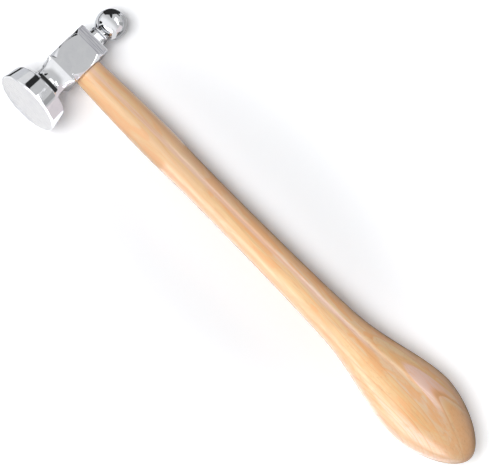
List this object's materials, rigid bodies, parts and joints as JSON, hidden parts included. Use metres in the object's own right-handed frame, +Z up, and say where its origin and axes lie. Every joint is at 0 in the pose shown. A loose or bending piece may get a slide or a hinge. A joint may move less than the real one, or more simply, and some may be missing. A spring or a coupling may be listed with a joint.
{
  "type": "chasing hammer",
  "caption": "Chasing hammer with a broad round striking face, scalloped cheek block, small ball peen and a turned wooden handle that swells to a bulb.",
  "frame": {"origin": "on the surface that the hammer lies on, under the middle of its bounding box", "axes": "+X along the handle from the head to the butt, +Y from the striking face towards the ball, +Z up as the hammer lies on its side"},
  "size_m": [0.2608, 0.062, 0.0304],
  "materials": {
    "head_steel": "mirror polished steel, satin on the striking face",
    "handle_wood": "pale orange-tan hardwood under clear gloss lacquer",
    "wedge_wood": "dark hardwood, end grain, bare",
    "wedge_steel": "plain mild steel, hammered end"
  },
  "bodies": {
    "root": {"hammer_head": "head_steel", "handle": "handle_wood", "kerf_wedge": "wedge_wood", "steel_wedge": "wedge_steel"}
  },
  "joints": []
}
